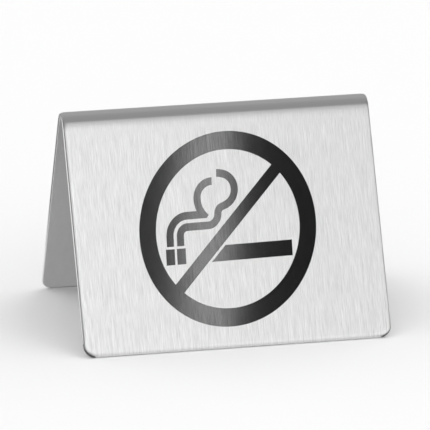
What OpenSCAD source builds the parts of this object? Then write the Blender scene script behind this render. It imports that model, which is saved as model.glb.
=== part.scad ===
// Folded table-top no smoking sign
// One sheet of brushed stainless steel, folded into a tent that stands on the
// lower edges of its two legs, with a black enamel mark on the front leg.
// Millimetres, +Z up. The front leg faces -Y, and the origin lies on the ground
// under the middle of the fold.

/* [Sheet] */
// Width of the sign, along the fold
sheet_w = 55; // [40:0.5:150]
// Length of each flat leg, from its lower edge up to the start of the fold
leg_l = 41.1; // [39:0.1:120]
// Thickness of the steel
sheet_t = 1; // [0.6:0.05:2]
// Radius of the rounded corners at the feet
corner_r = 1.7; // [0.6:0.1:12]
// Radius that takes the sharpness off the cut edges, on both faces
edge_r = 0.22; // [0.05:0.01:0.4]
// Depth of the hair-thin flats ground on the feet, where they rest on the table
foot_flat = 0.015; // [0.005:0.005:0.05]

/* [Fold] */
// Angle between the two legs, inside the fold
fold_angle = 53; // [20:1:90]
// Inside radius of the fold
fold_r = 1.85; // [0.5:0.05:6]

/* [Ring and bar] */
// Outer diameter of the ring, measured up the leg
ring_d = 34.7; // [30:0.1:37]
// Width of the ring's band
ring_band = 3.25; // [1:0.05:4]
// Width of the bar that crosses the ring
bar_w = 2.24; // [1:0.01:3]
// Rise of the bar, from lower left to upper right, in degrees
bar_angle = 45; // [42:0.5:48]
// Steel left bare between neighbouring fields of the mark
gap = 0.45; // [0.2:0.05:0.8]
// Thickness of the enamel on the steel
enamel_t = 0.05; // [0.03:0.01:0.12]

/* [Cigarette and smoke] */
// Thickness of the cigarette
cigarette_d = 2.8; // [1.5:0.05:3.5]
// Width of each block of the burning tip
tip_w = 1.7; // [0.8:0.05:1.9]
// How much further from the ring the tip stays than the cigarette's end
tip_inset = 0.1; // [0:0.05:0.5]
// Width of a stroke of smoke
smoke_w = 1.38; // [0.6:0.02:1.6]
// Steel left bare between the two strokes of smoke
smoke_gap = 0.64; // [0.3:0.02:1]

/* [Set of the mark] */
// Height of the mark's centre over the middle of the flat leg
mark_lift = 0.45; // [-1.5:0.05:1.5]
// Width of the mark as a share of its height, because it is set a little narrow
mark_narrow = 0.914; // [0.85:0.002:1.1]
// Lean of the mark's upright strokes to the right, in degrees
mark_lean = 2.7; // [-5:0.1:5]
// Rise of the mark's level strokes to the right, in degrees
mark_rise = 0.9; // [-5:0.1:5]

/* [Hidden] */
$fn = 180;
steel = [0.78, 0.78, 0.78];
enamel = [0.1, 0.1, 0.1];

// The tent: each leg leans in by half the fold's angle, and rests on the
// rounded inner arris of its lower edge, which is ground flat there
lean = fold_angle / 2;
fold_ro = fold_r + sheet_t;
bend_angle = 180 - fold_angle;
foot_rise = edge_r * (1 - cos(lean)) + (sheet_t - edge_r) * sin(lean) - foot_flat;
fold_z = leg_l * cos(lean) - fold_ro * sin(lean) + foot_rise;

// How far the front half's bend runs past the middle, before it is trimmed there
trim_angle = 5;

// The mark's ring
ring_ro = ring_d / 2;
ring_ri = ring_ro - ring_band;

// The cigarette and its tip share one level; both ends stop short of the ring
cigarette_y = -0.246 * ring_ro;
cigarette_low = cigarette_y - cigarette_d / 2;
cigarette_top = cigarette_y + cigarette_d / 2;
cigarette_end = sqrt(pow(ring_ri - gap, 2) - pow(cigarette_low, 2));
tip_pitch = tip_w + gap;
tip_x = tip_inset - cigarette_end;

// The smoke: two strokes that stand together over the middle of the tip, bend
// to the right together, and part into a curl and a loop. Their bends and runs
// are laid out in shares of the ring's radius
smoke_pitch = smoke_w + smoke_gap;
smoke_x = tip_x + (tip_pitch + tip_w) / 2;
smoke_y = cigarette_top + gap;
stem_l = 0.104 * ring_ro;
elbow_r = 0.084 * ring_ro;
run_l = 0.237 * ring_ro;
hook_r = 0.115 * ring_ro;
neck_r = 0.07 * ring_ro;
neck_l = 0.045 * ring_ro;
loop_r = 0.168 * ring_ro;
loop_end_r = 0.3 * ring_ro;
curl_run_l = 0.207 * ring_ro;
curl_nose_l = 0.018 * ring_ro;
curl_foot_r = 0.26 * ring_ro;

// Degrees between the points of a round stretch
stroke_step = 6;
disc_step = 3;

// Drawing with a pen: a step is [straight length, turn to the left, radius],
// and a trace is a list of [point, heading]
function toward(a) = [cos(a), sin(a)];

function arc_centre(p, heading, step) =
    p + step[0] * toward(heading) + sign(step[1]) * step[2] * toward(heading + 90);

function arc_point(p, heading, step, turned) =
    arc_centre(p, heading, step) - sign(step[1]) * step[2] * toward(heading + turned + 90);

function trace(p, heading, steps, i = 0) =
    i == len(steps)
    ? [[p, heading]]
    : let (
        step = steps[i],
        count = ceil(abs(step[1]) / stroke_step),
        begin = step[0] > 0 ? [[p, heading]] : [],
        bend = [
            for (k = [0 : 1 : count - 1])
            let (turned = step[1] * k / count)
            [arc_point(p, heading, step, turned), heading + turned]
        ],
        end = arc_point(p, heading, step, step[1])
    )
    concat(begin, bend, trace(end, heading + step[1], steps, i + 1));

module stroke(start, heading, steps) {
    line = trace(start, heading, steps);
    left = [for (q = line) q[0] + smoke_w / 2 * toward(q[1] + 90)];
    right = [for (q = line) q[0] - smoke_w / 2 * toward(q[1] + 90)];
    last = len(line) - 1;
    field(concat(left, [for (i = [0 : last]) right[last - i]]));
}

// Cross-section of the sheet: width along x, thickness up y
module sheet_section() {
    for (side = [-1, 1])
        for (y = [edge_r, sheet_t - edge_r])
            translate([side * (sheet_w / 2 - edge_r), y])
                circle(edge_r);
    translate([-sheet_w / 2, edge_r])
        square([sheet_w, sheet_t - 2 * edge_r]);
    translate([edge_r - sheet_w / 2, 0])
        square([sheet_w - 2 * edge_r, sheet_t]);
}

// Cross-section of the sheet's margin, from the centre of a corner outwards
module margin_section() {
    for (y = [-edge_r, edge_r - sheet_t])
        translate([corner_r - edge_r, y])
            circle(edge_r);
    translate([0, edge_r - sheet_t])
        square([corner_r, sheet_t - 2 * edge_r]);
    translate([0, -sheet_t])
        square([corner_r - edge_r, sheet_t]);
}

// One leg, lying flat: foot on the x axis, outer face at z = 0
module leg() {
    corner_x = sheet_w / 2 - corner_r;
    translate([0, corner_r, 0])
        rotate([-90, 0, 0])
            linear_extrude(leg_l - corner_r)
                sheet_section();
    translate([corner_x, corner_r, 0])
        rotate([90, 0, -90])
            linear_extrude(2 * corner_x)
                margin_section();
    translate([corner_x, corner_r, 0])
        rotate([0, 0, -90])
            rotate_extrude(angle = 90)
                margin_section();
    translate([-corner_x, corner_r, 0])
        rotate([0, 0, 180])
            rotate_extrude(angle = 90)
                margin_section();
}

// Lays a leg's outer face against the fold, whose axis is the x axis
module hung_from_fold() {
    translate([0, -leg_l, fold_ro])
        children();
}

// The bend, from the front leg to a little past its middle
module half_fold() {
    rotate([0, -90, 0])
        rotate_extrude(angle = bend_angle / 2 + trim_angle)
            translate([fold_ro, 0])
                rotate(90)
                    sheet_section();
}

// Stands the sign up, from the lie of the front leg
module standing() {
    translate([0, 0, fold_z])
        rotate([90 - lean, 0, 0])
            children();
}

// Trims the front half at the middle of the fold, and grinds its foot flat
module trimmed() {
    intersection() {
        children();
        translate([-sheet_w, -leg_l, 0])
            cube([2 * sheet_w, leg_l, 2 * leg_l]);
    }
}

// The rear half is the front half's mirror image
module folded_sheet() {
    color(steel)
        for (rear = [0, 1])
            mirror([0, rear, 0])
                trimmed()
                    standing() {
                        hung_from_fold()
                            leg();
                        half_fold();
                    }
}

// Prints flat fields on the front leg, centred on the mark
module printed() {
    color(enamel)
        standing()
            hung_from_fold()
                translate([0, leg_l / 2 + mark_lift, 0])
                    linear_extrude(enamel_t)
                        children();
}

// A field of the mark, narrowed, leaned and raised as the whole mark is
module field(points) {
    across = mark_narrow * toward(mark_rise);
    up = toward(90 - mark_lean);
    polygon([for (p = points) p[0] * across + p[1] * up]);
}

function disc(r) = [for (a = [0 : disc_step : 359]) r * toward(a)];

function block(low, size) =
    [low, low + [size[0], 0], low + size, low + [0, size[1]]];

// Everything on one side of the bar, from a distance off its centre line
function beside_bar(side, off) =
    let (far = side * ring_d)
    [
        for (q = [[-ring_d, side * off], [ring_d, side * off], [ring_d, far], [-ring_d, far]])
        q[0] * toward(bar_angle) + q[1] * toward(bar_angle + 90)
    ];

module printed_ring_and_bar() {
    printed()
        difference() {
            field(disc(ring_ro));
            for (side = [-1, 1])
                intersection() {
                    field(disc(ring_ri));
                    field(beside_bar(side, bar_w / 2));
                }
        }
}

// Trims fields along the bar, on one side of it: 1 above it, -1 below
module clear_of_bar(side) {
    intersection() {
        children();
        field(beside_bar(side, bar_w / 2 + gap));
    }
}

module printed_cigarette() {
    printed()
        clear_of_bar(-1)
            field(block([-cigarette_end, cigarette_low], [2 * cigarette_end, cigarette_d]));
}

module printed_tip() {
    printed()
        clear_of_bar(1)
            for (i = [0, 1])
                field(block([tip_x + i * tip_pitch, cigarette_low], [tip_w, cigarette_d]));
}

module loop_of_smoke() {
    stroke([smoke_x + smoke_pitch / 2, smoke_y], 90, [
        [stem_l, -90, elbow_r],
        [run_l, 90, hook_r],
        [0, -70, neck_r],
        [neck_l, 141, loop_r],
        [0, 16, loop_end_r]
    ]);
}

module curl_of_smoke() {
    stem_x = smoke_x - smoke_pitch / 2;
    outer_elbow_r = elbow_r + smoke_pitch;
    run_low = smoke_y + stem_l + outer_elbow_r - smoke_w / 2;
    nose_x = stem_x + outer_elbow_r + curl_run_l + curl_nose_l;
    stroke([stem_x, smoke_y], 90, [
        [stem_l, -90, outer_elbow_r],
        [curl_run_l, 0, 0]
    ]);
    intersection() {
        stroke([nose_x, run_low], 142, [
            [0, -52, curl_foot_r],
            [0, -92, loop_r]
        ]);
        field(block([-ring_d, run_low], [2 * ring_d, ring_d]));
    }
}

module printed_smoke() {
    printed()
        clear_of_bar(1) {
            loop_of_smoke();
            curl_of_smoke();
        }
}

folded_sheet();
printed_ring_and_bar();
printed_cigarette();
printed_tip();
printed_smoke();
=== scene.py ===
"""Looks for the folded steel table sign: brushed sheet, black enamel mark, camera, floor and light."""
import math

import bpy
from mathutils import Matrix, Vector


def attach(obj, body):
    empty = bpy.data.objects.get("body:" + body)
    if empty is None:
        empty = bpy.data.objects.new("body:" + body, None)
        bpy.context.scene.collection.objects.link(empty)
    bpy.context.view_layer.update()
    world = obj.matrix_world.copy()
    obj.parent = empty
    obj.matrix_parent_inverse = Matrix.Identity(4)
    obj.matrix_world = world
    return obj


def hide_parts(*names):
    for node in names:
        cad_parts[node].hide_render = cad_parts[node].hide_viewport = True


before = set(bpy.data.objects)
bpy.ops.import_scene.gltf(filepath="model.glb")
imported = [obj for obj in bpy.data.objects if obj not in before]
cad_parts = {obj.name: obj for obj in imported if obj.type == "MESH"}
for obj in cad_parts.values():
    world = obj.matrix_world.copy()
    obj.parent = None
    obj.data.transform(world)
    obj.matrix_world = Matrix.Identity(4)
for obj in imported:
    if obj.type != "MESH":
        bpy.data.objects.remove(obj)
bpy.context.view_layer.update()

# Sizes of the sheet in metres and degrees, as in the part's source
SHEET_WIDTH = 0.055
LEG_LENGTH = 0.0411
THICKNESS = 0.001
CORNER_RADIUS = 0.0021
ARRIS_RADIUS = 0.00022
FOLD_ANGLE = math.radians(53)
FOLD_OUTER_RADIUS = 0.00285
LEAN = FOLD_ANGLE / 2
BEND = math.pi - FOLD_ANGLE
FOLD_HEIGHT = 0.0387084 - FOLD_OUTER_RADIUS

# The bend eases into the flat legs over a few degrees. Its tighter middle keeps the
# legs and the top where the plain arc of the part's source has them
EASE_ANGLE = math.radians(6)
EASE_RADIUS = 0.015
MIDDLE_RADIUS = ((FOLD_OUTER_RADIUS * (1 - math.cos(BEND / 2)) - EASE_RADIUS * (1 - math.cos(EASE_ANGLE)))
                 / (math.cos(EASE_ANGLE) - math.cos(BEND / 2)))
EASED_LENGTH = (EASE_RADIUS - MIDDLE_RADIUS) * math.sin(EASE_ANGLE) - (FOLD_OUTER_RADIUS - MIDDLE_RADIUS) * math.sin(BEND / 2)

# The outer faces roll over softly before they reach the cut edges
ROLL_WIDTH = 0.0009
ROLL_DEPTH = 0.00019
ROLL_STOPS = (0, 0.0003, 0.0005, 0.0007, ROLL_WIDTH)

FOLD_STEPS = 30
EASE_STEPS = 4
CORNER_STEPS = 10
ARRIS_STEPS = 4
FACE_SLOT, INNER_SLOT, RIM_SLOT = 0, 1, 2

# The card that the enamel mirrors: its place, and its light from left to right in mm
FACE_MIDDLE = Vector((0, -0.0117, 0.0188))
CARD_DISTANCE = 0.4
CARD_WIDTH = 0.3
CARD_HEIGHT = 0.14
STRIP_PEAK = 2.45
STRIP = [(-60, 2.3), (-42, 2.3), (-28, 0.15), (-20, 0.17), (-14, 0.28), (-11.8, 0.68), (-9.6, 1.45), (-8, 2.0), (-5, 2.32),
         (-1, 2.42), (1, 1.78), (3.5, 0.24), (6, 0.08), (9, 0.06), (14, 0.05), (24, 0.025), (80, 0.025), (105, 1.6)]
FRONT_LIGHT = 2.3
SIDE_LIGHT = 0.05
PALE_CARD_LIGHT = 0.43
BACK_LIGHT = 0.57
TOP_LIGHT = 0.48


# ---------------------------------------------------------------- node helpers

def add_node(tree, kind, at=(0, 0), **settings):
    node = tree.nodes.new(kind)
    node.location = at
    for name, value in settings.items():
        setattr(node, name, value)
    return node


def set_inputs(node, **values):
    for name, value in values.items():
        node.inputs[name.replace("_", " ")].default_value = value


def new_material(name):
    material = bpy.data.materials.new(name)
    material.use_nodes = True
    material.node_tree.nodes.clear()
    return material, material.node_tree


def principled(tree, at=(400, 0)):
    shader = add_node(tree, "ShaderNodeBsdfPrincipled", at)
    out = add_node(tree, "ShaderNodeOutputMaterial", (at[0] + 320, at[1]))
    tree.links.new(shader.outputs["BSDF"], out.inputs["Surface"])
    return shader


# ---------------------------------------------------------------- shared grain

def brushed_grain_group():
    """Hairlines that run up and down the legs: a mask around 0.5, and a height."""
    group = bpy.data.node_groups.new("Brushed grain", "ShaderNodeTree")
    sockets = group.interface
    sockets.new_socket("Across", in_out="INPUT", socket_type="NodeSocketFloat").default_value = 22000.0
    sockets.new_socket("Along", in_out="INPUT", socket_type="NodeSocketFloat").default_value = 280.0
    sockets.new_socket("Mask", in_out="OUTPUT", socket_type="NodeSocketFloat")
    sockets.new_socket("Height", in_out="OUTPUT", socket_type="NodeSocketFloat")
    inputs = add_node(group, "NodeGroupInput", (-900, 0))
    place = add_node(group, "ShaderNodeTexCoord", (-900, -200))
    scale = add_node(group, "ShaderNodeCombineXYZ", (-700, 0))
    for axis, name in (("X", "Across"), ("Y", "Along"), ("Z", "Along")):
        group.links.new(inputs.outputs[name], scale.inputs[axis])
    stretch = add_node(group, "ShaderNodeVectorMath", (-500, 0), operation="MULTIPLY")
    group.links.new(place.outputs["Object"], stretch.inputs[0])
    group.links.new(scale.outputs[0], stretch.inputs[1])

    coarse = add_node(group, "ShaderNodeTexNoise", (-280, 150))
    set_inputs(coarse, Scale=1.0, Detail=1.0, Roughness=0.5)
    group.links.new(stretch.outputs[0], coarse.inputs["Vector"])
    fine = add_node(group, "ShaderNodeTexNoise", (-280, -150))
    set_inputs(fine, Scale=2.3, Detail=1.0, Roughness=0.6)
    group.links.new(stretch.outputs[0], fine.inputs["Vector"])
    both = add_node(group, "ShaderNodeMix", (-60, 0), data_type="FLOAT")
    both.inputs["Factor"].default_value = 0.45
    group.links.new(coarse.outputs["Fac"], both.inputs["A"])
    group.links.new(fine.outputs["Fac"], both.inputs["B"])
    out = add_node(group, "NodeGroupOutput", (160, 0))
    group.links.new(both.outputs["Result"], out.inputs["Mask"])
    group.links.new(fine.outputs["Fac"], out.inputs["Height"])
    return group


def place_grain(tree, group, across, along, at=(-500, 0)):
    node = add_node(tree, "ShaderNodeGroup", at)
    node.node_tree = group
    node.inputs["Across"].default_value = across
    node.inputs["Along"].default_value = along
    return node


def spread(tree, value, low, high, at, start=0.3, end=0.7):
    """Maps a value from start..end to low..high."""
    node = add_node(tree, "ShaderNodeMapRange", at)
    node.inputs["From Min"].default_value = start
    node.inputs["From Max"].default_value = end
    node.inputs["To Min"].default_value = low
    node.inputs["To Max"].default_value = high
    tree.links.new(value, node.inputs["Value"])
    return node.outputs["Result"]


def grey(tree, value, at):
    node = add_node(tree, "ShaderNodeCombineColor", at)
    for channel in ("Red", "Green", "Blue"):
        tree.links.new(value, node.inputs[channel])
    return node.outputs["Color"]


def bump(tree, height, strength, distance, at):
    node = add_node(tree, "ShaderNodeBump", at)
    node.inputs["Strength"].default_value = strength
    node.inputs["Distance"].default_value = distance
    tree.links.new(height, node.inputs["Height"])
    return node.outputs["Normal"]


# ---------------------------------------------------------------- materials

def legs_only(tree, value):
    """Fades a value to 0.5 in the fold, where bending has smoothed the grain."""
    place = add_node(tree, "ShaderNodeUVMap", (-1100, -300), uv_map="Developed")
    axes = add_node(tree, "ShaderNodeSeparateXYZ", (-900, -300))
    tree.links.new(place.outputs["UV"], axes.inputs[0])
    away = add_node(tree, "ShaderNodeMath", (-700, -300), operation="ABSOLUTE")
    tree.links.new(axes.outputs["Y"], away.inputs[0])
    share = spread(tree, away.outputs[0], 0.0, 1.0, (-500, -300), start=0.0026, end=0.0044)
    mix = add_node(tree, "ShaderNodeMix", (-350, -200), data_type="FLOAT")
    mix.inputs["A"].default_value = 0.5
    tree.links.new(share, mix.inputs["Factor"])
    tree.links.new(value, mix.inputs["B"])
    return mix.outputs["Result"]


def brushed_steel(group):
    material, tree = new_material("Brushed steel")
    shader = principled(tree)
    set_inputs(shader, Metallic=1.0, Anisotropic=0.85)
    grain = place_grain(tree, group, 22000.0, 280.0)
    mask = legs_only(tree, grain.outputs["Mask"])
    colour = grey(tree, spread(tree, mask, 0.55, 0.93, (-250, 150)), (0, 150))
    tree.links.new(colour, shader.inputs["Base Color"])
    tree.links.new(spread(tree, mask, 0.4, 0.3, (-250, -50)), shader.inputs["Roughness"])
    tree.links.new(bump(tree, grain.outputs["Height"], 0.25, 0.000004, (0, -250)), shader.inputs["Normal"])
    across = add_node(tree, "ShaderNodeTangent", (0, -450), direction_type="UV_MAP", uv_map="Developed")
    tree.links.new(across.outputs["Tangent"], shader.inputs["Tangent"])
    return material


def satin_steel(group):
    """The inner faces: rolled, not brushed."""
    material, tree = new_material("Satin steel")
    shader = principled(tree)
    set_inputs(shader, Metallic=1.0)
    grain = place_grain(tree, group, 700.0, 300.0)
    colour = grey(tree, spread(tree, grain.outputs["Mask"], 0.66, 0.7, (-250, 150)), (0, 150))
    tree.links.new(colour, shader.inputs["Base Color"])
    tree.links.new(spread(tree, grain.outputs["Mask"], 0.36, 0.42, (-250, -50)), shader.inputs["Roughness"])
    tree.links.new(bump(tree, grain.outputs["Height"], 0.1, 0.000004, (0, -250)), shader.inputs["Normal"])
    return material


def cut_steel(group):
    """The cut edges: plain down the front leg, and darkened by painted shade down the rear one, less near its foot.
    """
    material, tree = new_material("Cut steel")
    shader = principled(tree)
    set_inputs(shader, Metallic=1.0)
    grain = place_grain(tree, group, 1800.0, 1800.0)
    place = add_node(tree, "ShaderNodeUVMap", (-900, 300), uv_map="Developed")
    axes = add_node(tree, "ShaderNodeSeparateXYZ", (-700, 300))
    tree.links.new(place.outputs["UV"], axes.inputs[0])
    # Painted shade for a dark reflection: the cut edges darken from the fold's middle down the rear leg, less near
    # its foot
    front = spread(tree, axes.outputs["Y"], 1.0, 0.0, (-500, 300), start=-0.004, end=0.001)
    rear = spread(tree, axes.outputs["Y"], 0.07, 0.9, (-500, 500), start=0.022, end=0.036)
    painted_shade = add_node(tree, "ShaderNodeMath", (-300, 400), operation="MAXIMUM")
    tree.links.new(front, painted_shade.inputs[0])
    tree.links.new(rear, painted_shade.inputs[1])
    colour = add_node(tree, "ShaderNodeMath", (-100, 250), operation="MULTIPLY")
    tree.links.new(spread(tree, grain.outputs["Mask"], 0.84, 0.96, (-250, 150)), colour.inputs[0])
    tree.links.new(painted_shade.outputs[0], colour.inputs[1])
    tree.links.new(grey(tree, colour.outputs[0], (100, 250)), shader.inputs["Base Color"])
    tree.links.new(spread(tree, grain.outputs["Mask"], 0.25, 0.32, (-250, -50)), shader.inputs["Roughness"])
    tree.links.new(bump(tree, grain.outputs["Height"], 0.1, 0.000004, (0, -250)), shader.inputs["Normal"])
    return material


def black_enamel(group):
    material, tree = new_material("Black enamel")
    shader = principled(tree)
    set_inputs(shader, IOR=2.0, Specular_IOR_Level=0.21, Coat_IOR=2.4, Coat_Roughness=0.06)
    grain = place_grain(tree, group, 22000.0, 280.0)
    colour = grey(tree, spread(tree, grain.outputs["Mask"], 0.003, 0.018, (-250, 150)), (0, 150))
    tree.links.new(colour, shader.inputs["Base Color"])
    tree.links.new(spread(tree, grain.outputs["Mask"], 0.07, 0.05, (-250, -50)), shader.inputs["Roughness"])
    tree.links.new(spread(tree, grain.outputs["Mask"], 0.0, 0.75, (-250, -150)), shader.inputs["Coat Weight"])
    tree.links.new(bump(tree, grain.outputs["Height"], 0.12, 0.000003, (0, -250)), shader.inputs["Normal"])
    return material


# ---------------------------------------------------------------- the bent sheet

def apply(obj, kind, **settings):
    modifier = obj.modifiers.new(kind, kind)
    for name, value in settings.items():
        setattr(modifier, name, value)
    bpy.ops.object.modifier_apply(modifier=modifier.name)


def select_parts(obj, mode, wanted):
    """In edit mode, selects the vertices that wanted(point) picks, or the edges whose two ends it picks."""
    bpy.ops.mesh.select_mode(type=mode)
    bpy.ops.mesh.select_all(action="DESELECT")
    bpy.ops.object.mode_set(mode="OBJECT")
    mesh = obj.data
    if mode == "VERT":
        for part in mesh.vertices:
            part.select = wanted(part.co)
    else:
        for part in mesh.edges:
            a, b = (mesh.vertices[i].co for i in part.vertices)
            part.select = wanted(a) and wanted(b)
    bpy.ops.object.mode_set(mode="EDIT")


def developed_map(mesh):
    """Lays the sheet out flat: u across it, v along it, from the middle of the fold."""
    layer = mesh.uv_layers.new(name="Developed")
    for loop in mesh.loops:
        co = mesh.vertices[loop.vertex_index].co
        outward = Vector((0, co.y, co.z - FOLD_HEIGHT))
        leg = Vector((0, math.copysign(math.sin(LEAN), co.y), -math.cos(LEAN)))
        down = outward.dot(leg)
        if down > 0:
            along = down + FOLD_OUTER_RADIUS * BEND / 2
        else:
            along = FOLD_OUTER_RADIUS * abs(math.atan2(outward.y, outward.z))
        layer.data[loop.index].uv = (co.x, math.copysign(along, co.y))


def grind_feet(sheet):
    """The hair-thin flats on which the feet stand."""
    bpy.ops.object.select_all(action="DESELECT")
    bpy.ops.mesh.primitive_cube_add(size=1, location=(0, 0, -0.5))
    grinder = bpy.context.object
    grinder.data.materials.append(None)
    bpy.ops.object.select_all(action="DESELECT")
    sheet.select_set(True)
    bpy.context.view_layer.objects.active = sheet
    apply(sheet, "BOOLEAN", operation="DIFFERENCE", object=grinder, solver="EXACT")
    bpy.data.objects.remove(grinder)


def roll_edges():
    """Raises the outer face in narrow steps from its rim inwards, up to its full height."""
    bpy.ops.object.mode_set(mode="EDIT")
    bpy.ops.mesh.select_mode(type="FACE")
    bpy.ops.mesh.select_all(action="DESELECT")
    bpy.context.object.active_material_index = FACE_SLOT
    bpy.ops.object.material_slot_select()

    def fall(stop):
        return ROLL_DEPTH * (1 - stop / ROLL_WIDTH) ** 2

    for outer, inner in zip(ROLL_STOPS, ROLL_STOPS[1:]):
        bpy.ops.mesh.inset(thickness=inner - outer, depth=fall(outer) - fall(inner))
    bpy.ops.object.mode_set(mode="OBJECT")


def at_end(end):
    return lambda co: (Vector((0, co.y, co.z)) - end).length < 1e-6


def bent_sheet():
    """One leg lying flat, bent on around the fold, and the other leg drawn out from there."""
    flat = LEG_LENGTH - EASED_LENGTH
    bpy.ops.object.select_all(action="DESELECT")
    bpy.ops.mesh.primitive_plane_add(size=1, location=(0, flat / 2 - LEG_LENGTH, FOLD_OUTER_RADIUS - ROLL_DEPTH))
    sheet = bpy.context.object
    sheet.name = sheet.data.name = "bent_sheet"
    sheet.scale = (SHEET_WIDTH, flat, 1)
    bpy.ops.object.transform_apply(location=True, rotation=True, scale=True)

    bpy.ops.object.mode_set(mode="EDIT")
    foot = Vector((0, -LEG_LENGTH, FOLD_OUTER_RADIUS - ROLL_DEPTH))
    end = foot + Vector((0, flat, 0))
    heading = Matrix.Identity(3)
    for radius, angle, steps in ((EASE_RADIUS, EASE_ANGLE, EASE_STEPS),
                                 (MIDDLE_RADIUS, BEND - 2 * EASE_ANGLE, FOLD_STEPS),
                                 (EASE_RADIUS, EASE_ANGLE, EASE_STEPS)):
        centre = end - heading @ Vector((0, 0, radius - ROLL_DEPTH))
        select_parts(sheet, "EDGE", at_end(end))
        bpy.ops.mesh.spin(steps=steps, angle=angle, center=centre, axis=(1, 0, 0))
        turn = Matrix.Rotation(-angle, 3, "X")
        end = centre + turn @ (end - centre)
        heading = turn @ heading
    run = heading @ Vector((0, flat, 0))
    select_parts(sheet, "EDGE", at_end(end))
    bpy.ops.mesh.extrude_region_move(TRANSFORM_OT_translate={"value": run})
    select_parts(sheet, "VERT", lambda co: at_end(foot)(co) or at_end(end + run)(co))
    bpy.ops.mesh.bevel(offset=CORNER_RADIUS, segments=CORNER_STEPS, affect="VERTICES", offset_type="OFFSET")
    bpy.ops.mesh.select_all(action="SELECT")
    bpy.ops.mesh.normals_make_consistent(inside=False)
    bpy.ops.object.mode_set(mode="OBJECT")

    for name in ("face", "inner", "rim"):
        sheet.data.materials.append(None)
    apply(sheet, "SOLIDIFY", thickness=THICKNESS - ROLL_DEPTH, offset=-1, use_even_offset=True,
          material_offset=INNER_SLOT, material_offset_rim=RIM_SLOT)
    roll_edges()
    apply(sheet, "BEVEL", width=ARRIS_RADIUS, segments=ARRIS_STEPS, limit_method="ANGLE",
          angle_limit=math.radians(60), use_clamp_overlap=False)

    sheet.rotation_euler = (math.pi / 2 - LEAN, 0, 0)
    sheet.location = (0, 0, FOLD_HEIGHT)
    bpy.ops.object.transform_apply(location=True, rotation=True, scale=True)
    grind_feet(sheet)
    developed_map(sheet.data)
    bpy.ops.object.shade_smooth()
    apply(sheet, "WEIGHTED_NORMAL", mode="FACE_AREA", weight=100)
    return sheet


# ---------------------------------------------------------------- the set

def white_floor():
    bpy.ops.object.select_all(action="DESELECT")
    bpy.ops.mesh.primitive_plane_add(size=12, location=(0, 0, 0))
    floor = bpy.context.object
    floor.name = "white_floor"
    material, tree = new_material("White floor")
    shader = principled(tree)
    set_inputs(shader, Base_Color=(0.92, 0.92, 0.92, 1), Roughness=0.9, Specular_IOR_Level=0.0)
    floor.data.materials.append(material)


def studio_world():
    """Bright low in front, and grey above, behind and at the sides."""
    world = bpy.data.worlds.new("Studio")
    bpy.context.scene.world = world
    world.use_nodes = True
    tree = world.node_tree
    tree.nodes.clear()
    direction = add_node(tree, "ShaderNodeTexCoord", (-1100, 0))
    axes = add_node(tree, "ShaderNodeSeparateXYZ", (-900, 0))
    tree.links.new(direction.outputs["Generated"], axes.inputs[0])

    def smooth(value, start, end, low, high, at):
        node = add_node(tree, "ShaderNodeMapRange", at, interpolation_type="SMOOTHSTEP")
        for name, number in (("From Min", start), ("From Max", end), ("To Min", low), ("To Max", high)):
            node.inputs[name].default_value = number
        tree.links.new(value, node.inputs["Value"])
        return node.outputs["Result"]

    def math_node(kind, a, b, at):
        node = add_node(tree, "ShaderNodeMath", at, operation=kind)
        tree.links.new(a, node.inputs[0])
        if isinstance(b, float):
            node.inputs[1].default_value = b
        else:
            tree.links.new(b, node.inputs[1])
        return node.outputs[0]

    flat = add_node(tree, "ShaderNodeVectorMath", (-900, -250), operation="MULTIPLY")
    tree.links.new(direction.outputs["Generated"], flat.inputs[0])
    flat.inputs[1].default_value = (1, 1, 0)
    around = add_node(tree, "ShaderNodeVectorMath", (-750, -250), operation="NORMALIZE")
    tree.links.new(flat.outputs[0], around.inputs[0])
    facing = add_node(tree, "ShaderNodeVectorMath", (-600, -250), operation="DOT_PRODUCT")
    tree.links.new(around.outputs[0], facing.inputs[0])
    facing.inputs[1].default_value = (0.244, -0.970, 0)

    low = smooth(axes.outputs["Z"], 0.46, 0.88, 1.0, 0.0, (-400, 200))
    foot = math_node("MULTIPLY", smooth(axes.outputs["Z"], 0.36, 0.5, 0.7, 1.0, (-600, 350)),
                     smooth(axes.outputs["Z"], -0.02, 0.25, 0.62, 1.0, (-600, 500)), (-400, 400))
    front = smooth(facing.outputs["Value"], 0.5, 0.92, 0.0, 1.0, (-400, 0))
    lamp = math_node("MULTIPLY", math_node("MULTIPLY", low, foot, (-300, 300)), front, (-200, 100))
    side = smooth(axes.outputs["Y"], -0.1, 0.4, SIDE_LIGHT, BACK_LIGHT, (-400, -200))
    high = smooth(axes.outputs["Z"], 0.45, 0.85, 0.0, TOP_LIGHT, (-400, -400))
    room = math_node("MAXIMUM", side, high, (-200, -300))
    lift = math_node("MULTIPLY", lamp, FRONT_LIGHT, (0, 100))
    total = math_node("MAXIMUM", room, lift, (150, 0))
    background = add_node(tree, "ShaderNodeBackground", (200, 0))
    out = add_node(tree, "ShaderNodeOutputWorld", (400, 0))
    tree.links.new(total, background.inputs["Strength"])
    tree.links.new(background.outputs[0], out.inputs["Surface"])


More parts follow.
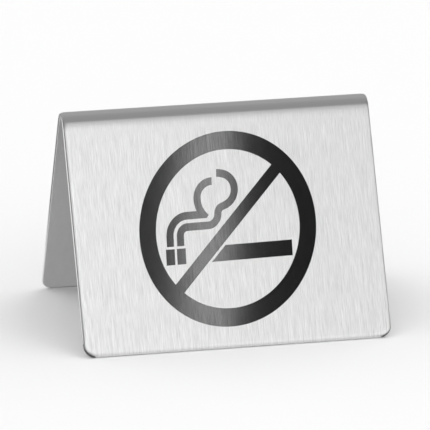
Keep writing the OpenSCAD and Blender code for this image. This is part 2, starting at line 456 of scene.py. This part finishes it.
def mirror_card():
    """A near card in the front face's mirror direction: dark, with one soft strip of light."""
    facing = Vector((0.201, -0.800, 0.566)).normalized()
    across = Vector((0.9775, 0.1256, -0.1696))
    across = (across - across.dot(facing) * facing).normalized()
    up = facing.cross(across)
    centre = FACE_MIDDLE + CARD_DISTANCE * facing
    bpy.ops.object.select_all(action="DESELECT")
    bpy.ops.mesh.primitive_plane_add(size=1)
    card = bpy.context.object
    card.name = "strip_card"
    turn = Matrix((across, up, facing)).transposed().to_4x4()
    card.matrix_world = Matrix.Translation(centre) @ turn @ Matrix.Diagonal((CARD_WIDTH, CARD_HEIGHT, 1, 1))
    material, tree = new_material("Strip of light")
    place = add_node(tree, "ShaderNodeTexCoord", (-800, 0))
    axes = add_node(tree, "ShaderNodeSeparateXYZ", (-600, 0))
    tree.links.new(place.outputs["Object"], axes.inputs[0])
    shift = add_node(tree, "ShaderNodeMath", (-500, 200), operation="ADD")
    tree.links.new(axes.outputs["X"], shift.inputs[0])
    shift.inputs[1].default_value = 0.5
    ramp = add_node(tree, "ShaderNodeValToRGB", (-400, 0))
    tree.links.new(shift.outputs[0], ramp.inputs["Fac"])
    elements = ramp.color_ramp.elements
    while len(elements) < len(STRIP):
        elements.new(0.5)
    for element, (place_mm, strength) in zip(elements, STRIP):
        element.position = 0.5 + place_mm * 0.001 / CARD_WIDTH
        element.color = (strength / STRIP_PEAK, strength / STRIP_PEAK, strength / STRIP_PEAK, 1)
    glow = add_node(tree, "ShaderNodeEmission", (0, 0))
    glow.inputs["Strength"].default_value = STRIP_PEAK
    tree.links.new(ramp.outputs["Color"], glow.inputs["Color"])
    out = add_node(tree, "ShaderNodeOutputMaterial", (200, 0))
    tree.links.new(glow.outputs[0], out.inputs["Surface"])
    card.data.materials.append(material)
    card.visible_camera = card.visible_diffuse = card.visible_shadow = False


def black_flags():
    """Black cards at the corners of the front foot, lying or rising forward, seen only in the steel."""
    material, tree = new_material("Black card")
    set_inputs(principled(tree), Base_Color=(0.12, 0.12, 0.12, 1), Roughness=0.9, Specular_IOR_Level=0.0)
    for name, corner, rise, side in (("lying_flag", (-0.0256, -0.012, 0.0001), 0, -1),
                                     ("rising_flag", (-0.0264, -0.0215, 0.0002), 16, -1),
                                     ("right_flag", (0.0256, -0.012, 0.0001), 0, 1)):
        bpy.ops.object.select_all(action="DESELECT")
        bpy.ops.mesh.primitive_plane_add(size=1)
        card = bpy.context.object
        card.name = name
        card.matrix_world = (Matrix.Translation(corner) @ Matrix.Rotation(math.radians(-rise), 4, "X")
                             @ Matrix.Diagonal((0.026, 0.03, 1, 1)) @ Matrix.Translation((0.5 * side, -0.5, 0)))
        card.data.materials.append(material)
        card.visible_camera = card.visible_diffuse = card.visible_shadow = False


def pale_card():
    """A pale card that lies between the feet, seen only in the steel, keeps the inner faces even to their feet."""
    material, tree = new_material("Pale card")
    glow = add_node(tree, "ShaderNodeEmission", (0, 0))
    glow.inputs["Strength"].default_value = PALE_CARD_LIGHT
    out = add_node(tree, "ShaderNodeOutputMaterial", (200, 0))
    tree.links.new(glow.outputs[0], out.inputs["Surface"])
    bpy.ops.object.select_all(action="DESELECT")
    bpy.ops.mesh.primitive_plane_add(size=1)
    card = bpy.context.object
    card.name = "pale_card"
    card.matrix_world = Matrix.Translation((0, 0, 0.0001)) @ Matrix.Diagonal((0.0545, 0.0396, 1, 1))
    card.data.materials.append(material)
    card.visible_camera = card.visible_diffuse = card.visible_shadow = False


def floor_lights():
    """Wide soft light from above and from both sides, that only matt surfaces see: it is for the floor."""
    for name, energy, tilt in (("overhead", 0.64, 0), ("from_left", 1.28, -62), ("from_right", 1.12, 62)):
        data = bpy.data.lights.new(name, "SUN")
        data.energy = energy
        data.angle = math.radians(110)
        lamp = bpy.data.objects.new(name, data)
        lamp.rotation_euler = (0, math.radians(tilt), 0)
        bpy.context.scene.collection.objects.link(lamp)
        lamp.visible_glossy = False


def photo_camera():
    right = Vector((0.97743, -0.21123, -0.00212)).normalized()
    forward = Vector((0.20101, 0.93315, -0.29804)).normalized()
    up = right.cross(forward)
    data = bpy.data.cameras.new("camera")
    data.lens = 520.5
    data.sensor_width = 36
    data.sensor_fit = "HORIZONTAL"
    data.clip_start = 0.05
    camera = bpy.data.objects.new("camera", data)
    bpy.context.scene.collection.objects.link(camera)
    centre = Vector((0.000118, -0.000220, 0.018182))
    turn = Matrix((right, up, -forward)).transposed().to_4x4()
    camera.matrix_world = Matrix.Translation(centre - 1.1 * forward) @ turn
    bpy.context.scene.camera = camera


bpy.context.scene.view_settings.view_transform = "Standard"
grain_group = brushed_grain_group()
sheet = bent_sheet()
for slot_index, material in ((FACE_SLOT, brushed_steel(grain_group)),
                             (INNER_SLOT, satin_steel(grain_group)),
                             (RIM_SLOT, cut_steel(grain_group))):
    sheet.data.materials[slot_index] = material
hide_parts("folded_sheet")
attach(sheet, "root")

enamel = black_enamel(grain_group)
for name in ("printed_ring_and_bar", "printed_cigarette", "printed_tip", "printed_smoke"):
    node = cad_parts[name]
    node.data.materials.clear()
    node.data.materials.append(enamel)

white_floor()
studio_world()
mirror_card()
black_flags()
pale_card()
floor_lights()
photo_camera()
